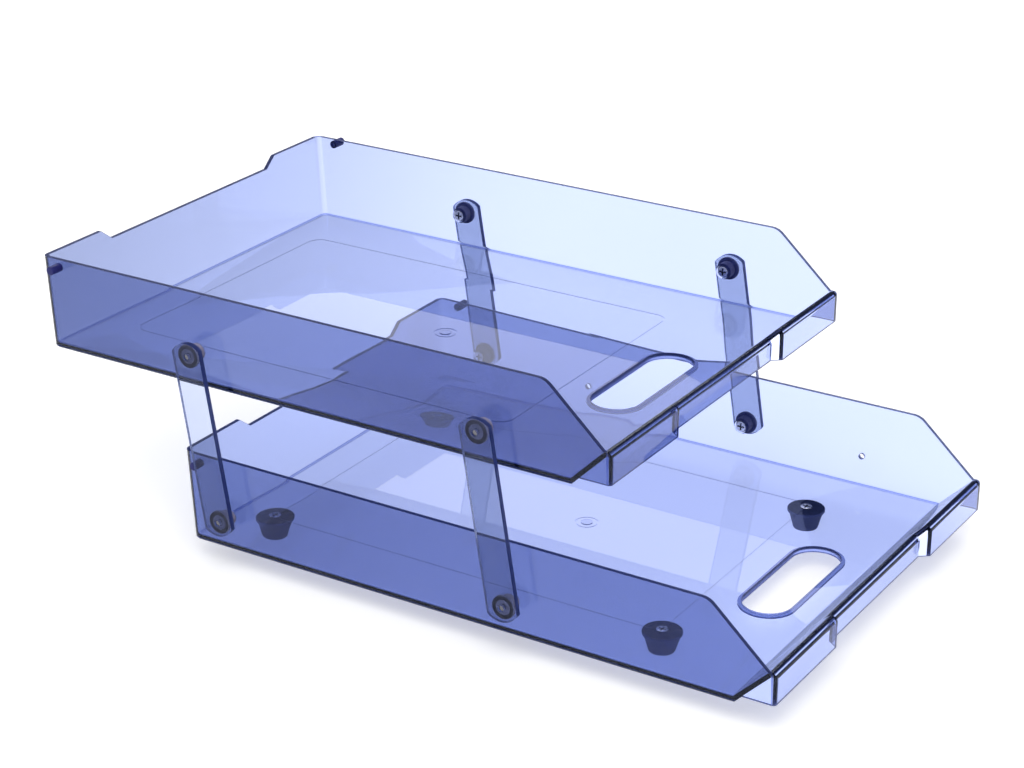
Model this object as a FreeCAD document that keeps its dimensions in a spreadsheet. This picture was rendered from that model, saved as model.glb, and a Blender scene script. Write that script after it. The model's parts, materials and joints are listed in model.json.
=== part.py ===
import FreeCAD, Part
import math
import os
import Sketcher

# Two open letter trays, one above the other, carried on four swinging links.
#
# Frame: +X to the right, the open fronts face -Y, +Z up.  The origin lies on the surface that the
# stack stands on, midway between the lower tray's front face and the upper tray's rear face with
# the links raised.  All lengths are in millimetres.

SIZES = [
    ("tray_width", 255.0, "outside width of a tray"),
    ("tray_depth", 360.0, "front face to rear face, at the rim"),
    ("tray_height", 53.0, "underside of the floor to the rim"),
    ("wall_thickness", 2.5, "side walls, rear wall, ramp and lip"),
    ("floor_thickness", 2.5, "tray floor"),
    ("rear_lean", 3.4, "how far the rear wall's foot stands in front of its rim"),
    ("rear_corner_radius", 4.8, "outer upright corners at the rear"),
    ("front_corner_radius", 2.2, "outer upright corners at the front"),
    ("base_edge_radius", 2.0, "outer edge round the floor"),
    ("inner_edge_radius", 1.6, "inner edge round the floor"),
    ("slope_start", 38.3, "front face to the place where the side rim starts to fall"),
    ("slope_end", 4.6, "front face to the place where the side rim meets the lip"),
    ("slope_radius", 10.0, "rounding where the side rim starts to fall"),
    ("ramp_fold", 24.0, "front face to the fold between floor and ramp"),
    ("ramp_slope", 1.0, "rise of the ramp for each millimetre of run"),
    ("fold_radius", 3.0, "rounding of that fold"),
    ("lip_bottom", 4.9, "underside of the floor's level to the lip's lower edge"),
    ("lip_radius", 3.0, "outer rounding of the lip's ridge"),
    ("recess_width", 118.0, "finger recess in the lip, at the front face"),
    ("recess_depth", 5.0, "how far the middle of the lip stands back"),
    ("recess_flank", 4.0, "run of each slanted flank of the recess"),
    ("slot_length", 85.2, "handle slot across the floor"),
    ("slot_width", 27.8, "handle slot, front to rear"),
    ("slot_centre", 53.4, "front face to the slot's middle"),
    ("collar_width", 2.0, "collar round the slot"),
    ("collar_drop", 1.2, "how far the collar hangs below the floor"),
    ("notch_width", 160.5, "finger notch in the rear rim, at the rim"),
    ("notch_flank", 8.5, "run of each slanted end of the notch"),
    ("notch_depth", 6.5, "depth of the notch"),
    ("panel_width", 173.0, "outline of the panel scored in the floor, across"),
    ("panel_front", 85.0, "front face to the panel's front line"),
    ("panel_rear", 332.0, "front face to the panel's rear line"),
    ("panel_radius", 8.0, "corners of the panel"),
    ("groove_width", 0.8, "scored line"),
    ("groove_depth", 0.2, "scored line"),
    ("gate_diameter", 6.5, "moulding stub in the middle of the floor"),
    ("gate_height", 0.4, "moulding stub"),
    ("gate_ring", 12.5, "scored ring round the moulding stub"),
    ("pivot_front", 72.0, "front face to the upper tray's front pivot"),
    ("pivot_offset", 77.4, "how far the lower tray's pivots sit behind the upper tray's"),
    ("pivot_rear", 29.6, "rear face, at the rim, to the lower tray's rear pivot"),
    ("pivot_height", 20.1, "underside of the floor to the pivots"),
    ("spare_hole", 3.6, "unused pivot hole in the lower tray's right wall"),
    ("link_pitch", 95.0, "pivot to pivot"),
    ("link_angle", 9.4, "degrees that the raised links lean to the rear"),
    ("link_width", 18.0, "flat bar"),
    ("link_thickness", 3.2, "flat bar"),
    ("link_overhang", 7.6, "pivot to the end of the bar"),
    ("link_end_radius", 11.5, "arc across each end"),
    ("link_corner_radius", 1.5, "corner between the arc and the long edge"),
    ("link_gap", 7.1, "wall to link, filled by the bush"),
    ("pin_diameter", 4.8, "stop pin near the rear rim"),
    ("pin_height", 49.0, "underside of the floor to the pin's axis"),
    ("pin_overlap", 1.2, "how far the pin reaches across the link's edge"),
    ("pin_chamfer", 0.4, "outer end of the pin"),
    ("spigot_diameter", 2.8, "thin end of the pin, set in the wall"),
    ("spigot_length", 1.3, "thin end of the pin, set in the wall"),
    ("spigot_clearance", 0.05, "between spigot and wall, all round and at the end"),
    ("stop_clearance", 0.15, "pin to raised link"),
    ("bush_diameter", 9.6, "bush between wall and link"),
    ("flange_diameter", 13.4, "bush, at the link"),
    ("flange_thickness", 1.6, "bush, at the link"),
    ("pivot_screw", 3.2, "shank of the pivot screw"),
    ("pivot_head", 6.8, "countersunk head of the pivot screw"),
    ("pivot_head_sink", 0.5, "wall's inner face to the top of that head"),
    ("screw_setback", 0.5, "screw tip to the link's outer face"),
    ("recess_arm", 4.4, "cross recess, tip to tip"),
    ("recess_slit", 1.0, "cross recess, width of an arm"),
    ("recess_sink", 0.9, "cross recess, depth"),
    ("foot_rim", 21.2, "rim of the foot, against the floor"),
    ("foot_rim_height", 1.8, "rim of the foot"),
    ("foot_body", 19.4, "foot under its rim"),
    ("foot_base", 14.0, "foot on the ground"),
    ("foot_height", 11.6, "foot"),
    ("foot_round", 2.0, "lower edge of the foot"),
    ("foot_inset", 44.2, "outer side face to the feet"),
    ("foot_front", 85.5, "front face to the front feet"),
    ("foot_rear", 27.2, "rear face, at the rim, to the rear feet"),
    ("foot_screw", 3.2, "shank of the foot screw"),
    ("foot_screw_head", 7.0, "countersunk head of the foot screw"),
    ("foot_screw_length", 10.0, "top of the head to the tip"),
    ("end_play", 0.08, "bush to wall"),
    ("screw_clearance", 0.05, "between a screw and its hole, all round"),
]


class Dim:
    """A length that knows its number and its formula in cells of the sheet."""

    def __init__(self, value, formula):
        self.value = value
        self.formula = formula

    def __add__(self, other):
        other = dim(other)
        return Dim(self.value + other.value, f"({self.formula} + {other.formula})")

    def __sub__(self, other):
        other = dim(other)
        return Dim(self.value - other.value, f"({self.formula} - {other.formula})")

    def __mul__(self, other):
        other = dim(other)
        return Dim(self.value * other.value, f"({self.formula} * {other.formula})")

    def __truediv__(self, other):
        other = dim(other)
        return Dim(self.value / other.value, f"({self.formula} / {other.formula})")

    def __neg__(self):
        return Dim(-self.value, f"(-1 * {self.formula})")

    def __rsub__(self, other):
        return dim(other) - self

    __radd__ = __add__
    __rmul__ = __mul__


def dim(value):
    return value if isinstance(value, Dim) else Dim(float(value), repr(float(value)))


def sine(angle):
    return Dim(math.sin(math.radians(angle.value)), f"sin({angle.formula})")


def cosine(angle):
    return Dim(math.cos(math.radians(angle.value)), f"cos({angle.formula})")


def root(value):
    return Dim(math.sqrt(value.value), f"sqrt({value.formula})")


def fill_sheet(document):
    sheet = document.addObject("Spreadsheet::Sheet", "Sizes")
    for row, (name, value, note) in enumerate(SIZES, start=1):
        sheet.set(f"A{row}", name)
        sheet.set(f"B{row}", str(value))
        sheet.setAlias(f"B{row}", name)
        sheet.set(f"C{row}", note)
    document.recompute()
    return {name: Dim(value, f"Sizes.{name}") for name, value, note in SIZES}


doc = FreeCAD.newDocument("LetterTrays")
size = fill_sheet(doc)


# ---------------------------------------------------------------- sketching

def make_body(label):
    body = doc.addObject("PartDesign::Body", "Body_" + label)
    body.Label = label
    return body


def bind(thing, prop, length):
    length = dim(length)
    setattr(thing, prop, length.value)
    thing.setExpression(prop, length.formula)


def new_sketch(body, role, offset=0.0):
    """A sketch on one of the body's own origin planes, moved along that plane's normal."""
    plane = next(f for f in body.Origin.OriginFeatures if f.Role == role)
    sketch = body.newObject("Sketcher::SketchObject", "Sketch")
    sketch.AttachmentSupport = [(plane, "")]
    sketch.MapMode = "FlatFace"
    offset = dim(offset)
    sketch.AttachmentOffset = FreeCAD.Placement(
        FreeCAD.Vector(0, 0, offset.value), FreeCAD.Rotation())
    sketch.setExpression("AttachmentOffset.Base.z", offset.formula)
    return sketch


def pin_point(sketch, geometry, end, across, up):
    """Fix a point's two coordinates to their formulas."""
    for kind, length in (("DistanceX", dim(across)), ("DistanceY", dim(up))):
        index = sketch.addConstraint(
            Sketcher.Constraint(kind, -1, 1, geometry, end, length.value))
        sketch.setExpression(f"Constraints[{index}]", length.formula)


def draw_outline(sketch, corners):
    """Close a loop through the corners, given as (across, up) or (across, up, radius).

    A corner with a radius is rounded by an arc tangent to both sides.
    """
    points = [FreeCAD.Vector(dim(c[0]).value, dim(c[1]).value, 0) for c in corners]
    radii = [dim(c[2]) if len(c) > 2 else None for c in corners]
    count = len(points)
    entries, exits = [], []
    for i, point in enumerate(points):
        back = (points[i - 1] - point).normalize()
        ahead = (points[(i + 1) % count] - point).normalize()
        reach = 0.0
        if radii[i] is not None:
            reach = radii[i].value / math.tan(back.getAngle(ahead) / 2)
        entries.append(point + back * reach)
        exits.append(point + ahead * reach)
    sides = []
    for i in range(count):
        sides.append(sketch.addGeometry(Part.LineSegment(exits[i], entries[(i + 1) % count])))
    for i, point in enumerate(points):
        before, after = sides[i - 1], sides[i]
        if radii[i] is None:
            sketch.addConstraint(Sketcher.Constraint("Coincident", before, 2, after, 1))
            pin_point(sketch, after, 1, corners[i][0], corners[i][1])
            continue
        round_corner(sketch, point, entries[i], exits[i], before, after, radii[i])
        vertex = sketch.addGeometry(Part.Point(point), True)
        sketch.addConstraint(Sketcher.Constraint("PointOnObject", vertex, 1, before))
        sketch.addConstraint(Sketcher.Constraint("PointOnObject", vertex, 1, after))
        pin_point(sketch, vertex, 1, corners[i][0], corners[i][1])


def round_corner(sketch, point, entry, leave, before, after, radius):
    """Add the tangent arc of one corner of an outline."""
    inward = ((entry - point) + (leave - point)).normalize()
    half = (entry - point).getAngle(inward)
    centre = point + inward * (radius.value / math.sin(half))
    turns_left = (point - entry).cross(leave - point).z > 0
    first, last = (entry, leave) if turns_left else (leave, entry)
    start = math.atan2(first.y - centre.y, first.x - centre.x)
    stop = math.atan2(last.y - centre.y, last.x - centre.x)
    circle = Part.Circle(centre, FreeCAD.Vector(0, 0, 1), radius.value)
    arc = sketch.addGeometry(Part.ArcOfCircle(circle, start, stop))
    sketch.addConstraint(Sketcher.Constraint("Tangent", before, 2, arc, 1 if turns_left else 2))
    sketch.addConstraint(Sketcher.Constraint("Tangent", arc, 2 if turns_left else 1, after, 1))
    index = sketch.addConstraint(Sketcher.Constraint("Radius", arc, radius.value))
    sketch.setExpression(f"Constraints[{index}]", radius.formula)


def draw_circle(sketch, across, up, diameter):
    diameter = dim(diameter)
    centre = FreeCAD.Vector(dim(across).value, dim(up).value, 0)
    circle = sketch.addGeometry(
        Part.Circle(centre, FreeCAD.Vector(0, 0, 1), diameter.value / 2))
    pin_point(sketch, circle, 3, across, up)
    index = sketch.addConstraint(Sketcher.Constraint("Diameter", circle, diameter.value))
    sketch.setExpression(f"Constraints[{index}]", diameter.formula)


def rectangle(left, right, low, high, radius=None):
    """Corners of an upright rectangle, rounded where a radius is given."""
    corners = [(left, low), (right, low), (right, high), (left, high)]
    return corners if radius is None else [corner + (radius,) for corner in corners]


def pad(body, sketch, length, symmetric=False, backwards=False):
    feature = body.newObject("PartDesign::Pad", "Pad")
    feature.Profile = sketch
    bind(feature, "Length", length)
    feature.Midplane = symmetric
    feature.Reversed = backwards
    return feature


def pocket(body, sketch, length, symmetric=False, backwards=False):
    feature = body.newObject("PartDesign::Pocket", "Pocket")
    feature.Profile = sketch
    bind(feature, "Length", length)
    feature.Midplane = symmetric
    feature.Reversed = backwards
    return feature


def loft(body, kind, first, second):
    feature = body.newObject("PartDesign::" + kind, kind)
    feature.Profile = first
    feature.Sections = [second]
    feature.Ruled = True
    return feature


def mirror_sides(body, features):
    """Copy features from the right side to the left."""
    middle = next(f for f in body.Origin.OriginFeatures if f.Role == "YZ_Plane")
    feature = body.newObject("PartDesign::Mirrored", "Mirrored")
    feature.Originals = features
    feature.MirrorPlane = (middle, [""])
    body.Tip = feature
    return feature


def revolve(body, sketch, axis):
    feature = body.newObject("PartDesign::Revolution", "Revolution")
    feature.Profile = sketch
    feature.ReferenceAxis = (sketch, [axis])
    feature.Angle = 360.0
    return feature


def fillet(body, base, picked, radius):
    """Round the edges of the feature so far that the given test picks."""
    doc.recompute()
    names = [f"Edge{i}" for i, edge in enumerate(base.Shape.Edges, start=1) if picked(edge)]
    feature = body.newObject("PartDesign::Fillet", "Fillet")
    feature.Base = (base, names)
    bind(feature, "Radius", radius)
    return feature


def place(body, across, along, up, axis=FreeCAD.Vector(0, 0, 1), angle=0.0):
    """Set a body's placement, turned by an angle in degrees, and keep it bound to the sheet."""
    across, along, up, angle = dim(across), dim(along), dim(up), dim(angle)
    body.Placement = FreeCAD.Placement(
        FreeCAD.Vector(across.value, along.value, up.value),
        FreeCAD.Rotation(axis, angle.value))
    if angle.value:
        body.setExpression("Placement.Rotation.Angle", angle.formula)
    body.setExpression("Placement.Base.x", across.formula)
    body.setExpression("Placement.Base.y", along.formula)
    body.setExpression("Placement.Base.z", up.formula)


# ---------------------------------------------------------------- shared places

width = size["tray_width"]
depth = size["tray_depth"]
height = size["tray_height"]
wall = size["wall_thickness"]
floor = size["floor_thickness"]
half_width = width / 2
half_inside = half_width - wall

# The ramp's upper face is the line  up = floor + slope * (fold - along)  in the YZ plane.
slope = size["ramp_slope"]
fold = size["ramp_fold"]
ramp_skew = wall * root(slope * slope + 1)

# Two lines of pivots, measured from the front face of their own tray.
lower_pivots = [size["pivot_front"] + size["pivot_offset"], depth - size["pivot_rear"]]
upper_pivots = [pivot - size["pivot_offset"] for pivot in lower_pivots]
pivot_height = size["pivot_height"]

# Front face and underside of the lower tray, and of the upper tray above it.
lean = size["link_angle"]
pitch = size["link_pitch"]
setback = size["pivot_offset"] + pitch * sine(lean)
lower_base = (-(setback + depth) / 2, size["foot_height"])
upper_base = (lower_base[0] + setback, lower_base[1] + pitch * cosine(lean))

# The stop pin touches the rear edge of the raised rear link.
pin_arm = size["link_width"] / 2 + size["pin_diameter"] / 2 + size["stop_clearance"]
pin_rise = (size["pin_height"] - pivot_height + pin_arm * sine(lean)) / cosine(lean)
pin_along = lower_pivots[1] + pin_rise * sine(lean) + pin_arm * cosine(lean)


# ---------------------------------------------------------------- tray

def ramp_height(along):
    return floor + slope * (fold - along)


def lip_profile(front):
    """Section of floor edge, ramp and lip, with the lip's face at the given distance."""
    tail = fold + size["fold_radius"] * 2
    back = front + wall
    under_fold = fold - (ramp_skew - floor) / slope
    return [
        (tail, 0.0),
        (tail, floor),
        (fold, floor, size["fold_radius"]),
        (front, ramp_height(front), size["lip_radius"]),
        (front, size["lip_bottom"]),
        (back, size["lip_bottom"]),
        (back, ramp_height(back) - ramp_skew, size["lip_radius"] - wall),
        (under_fold, 0.0),
    ]


def rear_face(up):
    """Distance of the leaning rear wall's outer face at a height."""
    return depth - size["rear_lean"] + size["rear_lean"] * up / height


def on_plane(edge, axis, value):
    return all(abs(getattr(v.Point, axis) - value) < 0.01 for v in edge.Vertexes)


def side_view(body, front, low, high, inset):
    """Outline of the tub seen from the side, its rear edge leaning with the rear wall."""
    sketch = new_sketch(body, "YZ_Plane")
    draw_outline(sketch, [(front, low), (rear_face(low) - inset, low),
                          (rear_face(high) - inset, high), (front, high)])
    return sketch


def rear_upright(edge, across):
    """Tell whether an edge is one of the rear corners at the given distance from the middle."""
    box = edge.BoundBox
    return (abs(abs(edge.CenterOfMass.x) - across.value) < 0.01
            and box.ZLength > height.value / 2 and box.YMin > depth.value / 2)


def level_edge(edge, level):
    """Tell whether an edge lies in the level plane and runs back from the front end."""
    return on_plane(edge, "z", level.value) and edge.BoundBox.YMax > 0


def tray_shell(body):
    """Open-fronted tub: floor, two side walls and the leaning rear wall."""
    corner = size["rear_corner_radius"]
    spare = wall * 4
    block = pad(body, side_view(body, -spare, dim(0.0), height, dim(0.0)), width, symmetric=True)
    block = fillet(body, block, lambda edge: rear_upright(edge, half_width), corner)
    fillet(body, block, lambda edge: level_edge(edge, dim(0.0)), size["base_edge_radius"])
    hollow = pocket(body, side_view(body, -spare * 2, floor, height + wall, wall),
                    half_inside * 2, symmetric=True)
    hollow = fillet(body, hollow, lambda edge: rear_upright(edge, half_inside), corner - wall)
    fillet(body, hollow, lambda edge: level_edge(edge, floor), size["inner_edge_radius"])
    trim_front(body, spare)


def trim_front(body, spare):
    """Cut the tub's front end flat, with rounded upright corners."""
    corner = size["front_corner_radius"]
    beyond = half_width + wall
    sketch = new_sketch(body, "XY_Plane", height + wall)
    draw_outline(sketch, [(-beyond, -spare * 2), (beyond, -spare * 2), (beyond, corner * 2),
                          (half_width, corner * 2), (half_width, 0.0, corner),
                          (-half_width, 0.0, corner), (-half_width, corner * 2),
                          (-beyond, corner * 2)])
    pocket(body, sketch, height + wall * 2)


def tray_sides(body):
    """Cut the side walls to their silhouette: sloping front rim and raised front corner."""
    ridge = lip_ridge()
    clear = wall
    sketch = new_sketch(body, "YZ_Plane")
    draw_outline(sketch, [
        (size["slope_end"], ridge),
        (size["slope_start"], height, size["slope_radius"]),
        (depth / 2, height),
        (depth / 2, height + clear),
        (-clear, height + clear),
        (-clear, ridge - size["lip_radius"] * 2),
        (0.0, ridge - size["lip_radius"] * 2),
        (0.0, ridge, size["lip_radius"]),
    ])
    pocket(body, sketch, width + wall, symmetric=True)
    under = fold - (ramp_skew - floor) / slope
    sketch = new_sketch(body, "YZ_Plane")
    draw_outline(sketch, [(-clear, -clear), (under, -clear), (under, 0.0),
                          (under - size["lip_bottom"] / slope, size["lip_bottom"]),
                          (-clear, size["lip_bottom"])])
    pocket(body, sketch, width + wall, symmetric=True)


def lip_ridge():
    """Height of the rounded ridge where ramp and lip meet."""
    return ramp_height(0.0) - size["lip_radius"] * (slope + root(slope * slope + 1) - 1)


def tray_lip(body):
    """Ramp and lip between the side walls, with the finger recess in the middle."""
    flank_out = size["recess_width"] / 2
    flank_in = flank_out - size["recess_flank"]
    sketch = new_sketch(body, "YZ_Plane")
    draw_outline(sketch, lip_profile(size["recess_depth"]))
    pad(body, sketch, flank_in * 2, symmetric=True)
    sections = []
    for across, front in ((flank_in, size["recess_depth"]), (flank_out, dim(0.0))):
        sketch = new_sketch(body, "YZ_Plane", across)
        draw_outline(sketch, lip_profile(front))
        sections.append(sketch)
    flank = loft(body, "AdditiveLoft", *sections)
    sketch = new_sketch(body, "YZ_Plane", flank_out)
    draw_outline(sketch, lip_profile(dim(0.0)))
    side = pad(body, sketch, half_inside - flank_out)
    mirror_sides(body, [flank, side])


def oblong(body, up, length, breadth):
    sketch = new_sketch(body, "XY_Plane", up)
    draw_outline(sketch, rectangle(-length / 2, length / 2, size["slot_centre"] - breadth / 2,
                                   size["slot_centre"] + breadth / 2, breadth / 2 * 0.999))
    return sketch


def tray_floor_details(body):
    """Handle slot with its collar, scored panel and moulding stub."""
    collar = size["collar_width"] * 2
    sketch = oblong(body, -size["collar_drop"], size["slot_length"] + collar,
                    size["slot_width"] + collar)
    pad(body, sketch, size["collar_drop"] + floor / 2)
    sketch = oblong(body, floor + wall, size["slot_length"], size["slot_width"])
    pocket(body, sketch, floor + wall + size["collar_drop"] * 2)
    sketch = new_sketch(body, "XY_Plane", floor)
    groove = size["groove_width"] / 2
    for grow in (groove, -groove):
        draw_outline(sketch, rectangle(
            -size["panel_width"] / 2 - grow, size["panel_width"] / 2 + grow,
            size["panel_front"] - grow, size["panel_rear"] + grow, size["panel_radius"] + grow))
    pocket(body, sketch, size["groove_depth"])
    sketch = new_sketch(body, "XY_Plane", floor)
    draw_circle(sketch, 0.0, depth / 2, size["gate_diameter"])
    pad(body, sketch, size["gate_height"])
    sketch = new_sketch(body, "XY_Plane", floor)
    for grow in (groove, -groove):
        draw_circle(sketch, 0.0, depth / 2, size["gate_ring"] + grow * 2)
    pocket(body, sketch, size["groove_depth"])


def tray_notch(body):
    """Finger notch in the rear rim."""
    top = size["notch_width"] / 2
    bottom = top - size["notch_flank"]
    level = height - size["notch_depth"]
    rise = size["notch_flank"] / size["notch_depth"] * wall
    sketch = new_sketch(body, "XZ_Plane", -(depth - wall * 3))
    draw_outline(sketch, [(-bottom, level), (bottom, level), (top + rise, height + wall),
                          (-top - rise, height + wall)])
    pocket(body, sketch, wall * 6)


def tray_wall_holes(body, pivots):
    """Countersunk holes in both side walls for the pivots, and blind ones for the stop pins."""
    bore = size["pivot_screw"] + size["screw_clearance"] * 2
    mouth = size["pivot_head"] + size["screw_clearance"] * 2 + size["pivot_head_sink"] * 2
    sketch = new_sketch(body, "YZ_Plane")
    for along in pivots:
        draw_circle(sketch, along, pivot_height, bore)
    pocket(body, sketch, width + wall, symmetric=True)
    play = size["spigot_clearance"]
    for way in (-1, 1):
        for along in pivots:
            sections = []
            for across, diameter in ((half_inside, mouth),
                                     (half_inside + (mouth - bore) / 2, bore)):
                sketch = new_sketch(body, "YZ_Plane", across * way)
                draw_circle(sketch, along, pivot_height, diameter)
                sections.append(sketch)
            loft(body, "SubtractiveLoft", *sections)
        sketch = new_sketch(body, "YZ_Plane", half_width * way)
        draw_circle(sketch, pin_along, size["pin_height"], size["spigot_diameter"] + play * 2)
        pocket(body, sketch, size["spigot_length"] + play, backwards=way < 0)


def tray_spare_holes(body, pivots):
    """Unused holes in the right wall, where the other tray has its pivots."""
    sketch = new_sketch(body, "YZ_Plane", half_inside - wall)
    for along in pivots:
        draw_circle(sketch, along, pivot_height, size["spare_hole"])
    pocket(body, sketch, wall * 3, backwards=True)


def foot_places():
    reach = half_width - size["foot_inset"]
    for side, across in (("left", -reach), ("right", reach)):
        for end, along in (("front", size["foot_front"]), ("rear", depth - size["foot_rear"])):
            yield f"{side}_{end}", across, along


def countersink():
    """Radius of the head, radius of the shank and depth of the cone between them."""
    head = size["foot_screw_head"] / 2
    shank = size["foot_screw"] / 2
    return head, shank, head - shank


def tray_foot_holes(body):
    """Countersunk holes for the foot screws."""
    head, shank, sink = countersink()
    for name, across, along in foot_places():
        sections = []
        for up, diameter in ((floor, head * 2), (floor - sink, shank * 2)):
            sketch = new_sketch(body, "XY_Plane", up)
            draw_circle(sketch, across, along, diameter)
            sections.append(sketch)
        loft(body, "SubtractiveLoft", *sections)
    sketch = new_sketch(body, "XY_Plane", floor)
    for name, across, along in foot_places():
        draw_circle(sketch, across, along, (shank + size["screw_clearance"]) * 2)
    pocket(body, sketch, floor * 2)


def make_tray(label, pivots, base):
    body = make_body(label)
    tray_shell(body)
    tray_sides(body)
    tray_lip(body)
    tray_floor_details(body)
    tray_notch(body)
    tray_wall_holes(body, pivots)
    place(body, 0.0, base[0], base[1])
    return body


# ---------------------------------------------------------------- links and pivots

def make_link(label, across, pivot):
    """Flat bar between two pivots; its own origin is the lower pivot."""
    body = make_body(label)
    sketch = new_sketch(body, "YZ_Plane")
    half = size["link_width"] / 2
    reach = root(size["link_end_radius"] * size["link_end_radius"] - half * half)
    ends = []
    for tip, way in ((-size["link_overhang"], 1), (pitch + size["link_overhang"], -1)):
        ends.append((tip + size["link_end_radius"] * way, way))
    edges = []
    for side in (1, -1):
        low = FreeCAD.Vector(side * half.value, (ends[0][0] - reach).value, 0)
        high = FreeCAD.Vector(side * half.value, (ends[1][0] + reach).value, 0)
        edges.append(sketch.addGeometry(Part.LineSegment(low, high)))
        sketch.addConstraint(Sketcher.Constraint("Vertical", edges[-1]))
        index = sketch.addConstraint(
            Sketcher.Constraint("DistanceX", -1, 1, edges[-1], 1, side * half.value))
        sketch.setExpression(f"Constraints[{index}]", (half * side).formula)
    spread = math.asin(half.value / size["link_end_radius"].value)
    for (centre, way), end in zip(ends, (1, 2)):
        middle = -way * math.pi / 2
        circle = Part.Circle(FreeCAD.Vector(0, centre.value, 0), FreeCAD.Vector(0, 0, 1),
                             size["link_end_radius"].value)
        arc = sketch.addGeometry(Part.ArcOfCircle(circle, middle - spread, middle + spread))
        first, last = (edges[1], edges[0]) if way > 0 else (edges[0], edges[1])
        sketch.addConstraint(Sketcher.Constraint("Coincident", arc, 1, first, end))
        sketch.addConstraint(Sketcher.Constraint("Coincident", arc, 2, last, end))
        pin_point(sketch, arc, 3, 0.0, centre)
        index = sketch.addConstraint(
            Sketcher.Constraint("Radius", arc, size["link_end_radius"].value))
        sketch.setExpression(f"Constraints[{index}]", size["link_end_radius"].formula)
    for up in (dim(0.0), pitch):
        draw_circle(sketch, 0.0, up, size["pivot_screw"] + size["screw_clearance"] * 2)
    bar = pad(body, sketch, size["link_thickness"])
    fillet(body, bar,
           lambda edge: edge.Length < size["link_thickness"].value * 1.01
           and abs(abs(edge.CenterOfMass.y) - half.value) < 0.01,
           size["link_corner_radius"])
    rearwards = FreeCAD.Vector(-1, 0, 0)
    place(body, across, lower_base[0] + pivot, lower_base[1] + pivot_height, rearwards, lean)
    return body


def make_bush(label):
    """Stepped bush: spacer against the wall, flange against the link."""
    body = make_body(label)
    bore = size["pivot_screw"] / 2 + size["screw_clearance"]
    step = size["link_gap"] - size["flange_thickness"]
    sketch = new_sketch(body, "XZ_Plane")
    draw_outline(sketch, [
        (size["end_play"], bore), (size["link_gap"], bore),
        (size["link_gap"], size["flange_diameter"] / 2), (step, size["flange_diameter"] / 2),
        (step, size["bush_diameter"] / 2), (size["end_play"], size["bush_diameter"] / 2),
    ])
    revolve(body, sketch, "H_Axis")
    return body


def cut_cross(body, plane, level, backwards):
    """Cross recess sunk into a screw head."""
    sketch = new_sketch(body, plane, level)
    arm = size["recess_arm"] / 2
    slit = size["recess_slit"] / 2
    draw_outline(sketch, [(arm, -slit), (arm, slit), (slit, slit), (slit, arm), (-slit, arm),
                          (-slit, slit), (-arm, slit), (-arm, -slit), (-slit, -slit),
                          (-slit, -arm), (slit, -arm), (slit, -slit)])
    pocket(body, sketch, size["recess_sink"], backwards=backwards)


def make_pivot_screw(label):
    """Countersunk screw: the head turns in the wall, the tip ends in the link."""
    body = make_body(label)
    top = size["pivot_head_sink"] - wall
    tip = size["link_gap"] + size["link_thickness"] - size["screw_setback"]
    head = size["pivot_head"] / 2
    shank = size["pivot_screw"] / 2
    sketch = new_sketch(body, "XZ_Plane")
    draw_outline(sketch, [(top, 0.0), (tip, 0.0), (tip, shank), (top + head - shank, shank),
                          (top, head)])
    revolve(body, sketch, "H_Axis")
    cut_cross(body, "YZ_Plane", top, True)
    return body


def make_stop_pin(label):
    """Pin set in the wall by a thin spigot, standing out across the raised link's edge."""
    body = make_body(label)
    tip = size["link_gap"] + size["pin_overlap"]
    radius = size["pin_diameter"] / 2
    spigot = size["spigot_diameter"] / 2
    chamfer = size["pin_chamfer"]
    sketch = new_sketch(body, "XZ_Plane")
    draw_outline(sketch, [(-size["spigot_length"], 0.0), (tip, 0.0), (tip, radius - chamfer),
                          (tip - chamfer, radius), (0.0, radius), (0.0, spigot),
                          (-size["spigot_length"], spigot)])
    revolve(body, sketch, "H_Axis")
    return body


def make_foot(label):
    """Tapered foot, its rim up, with a blind hole for its screw."""
    body = make_body(label)
    bore = size["foot_screw"] / 2 + size["screw_clearance"]
    hole = -(size["foot_screw_length"] - floor)
    rim, rim_height = size["foot_rim"] / 2, size["foot_rim_height"]
    ground = -size["foot_height"]
    sketch = new_sketch(body, "XZ_Plane")
    draw_outline(sketch, [
        (0.0, ground), (size["foot_base"] / 2, ground, size["foot_round"]),
        (size["foot_body"] / 2, -rim_height), (rim, -rim_height), (rim, 0.0),
        (bore, 0.0), (bore, hole), (0.0, hole),
    ])
    revolve(body, sketch, "V_Axis")
    return body


def make_foot_screw(label):
    """Countersunk screw, flush with the tray's floor."""
    body = make_body(label)
    head, shank, sink = countersink()
    sketch = new_sketch(body, "XZ_Plane")
    draw_outline(sketch, [
        (0.0, floor - size["foot_screw_length"]), (shank, floor - size["foot_screw_length"]),
        (shank, floor - sink), (head, floor), (0.0, floor),
    ])
    revolve(body, sketch, "V_Axis")
    cut_cross(body, "XY_Plane", floor, False)
    return body


# ---------------------------------------------------------------- the stack

lower_tray = make_tray("lower_tray", lower_pivots, lower_base)
tray_spare_holes(lower_tray, upper_pivots)
tray_foot_holes(lower_tray)
upper_tray = make_tray("upper_tray", upper_pivots, upper_base)

for foot_name, across, along in foot_places():
    for piece in (make_foot(foot_name + "_foot"), make_foot_screw(foot_name + "_foot_screw")):
        place(piece, across, lower_base[0] + along, lower_base[1])

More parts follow.
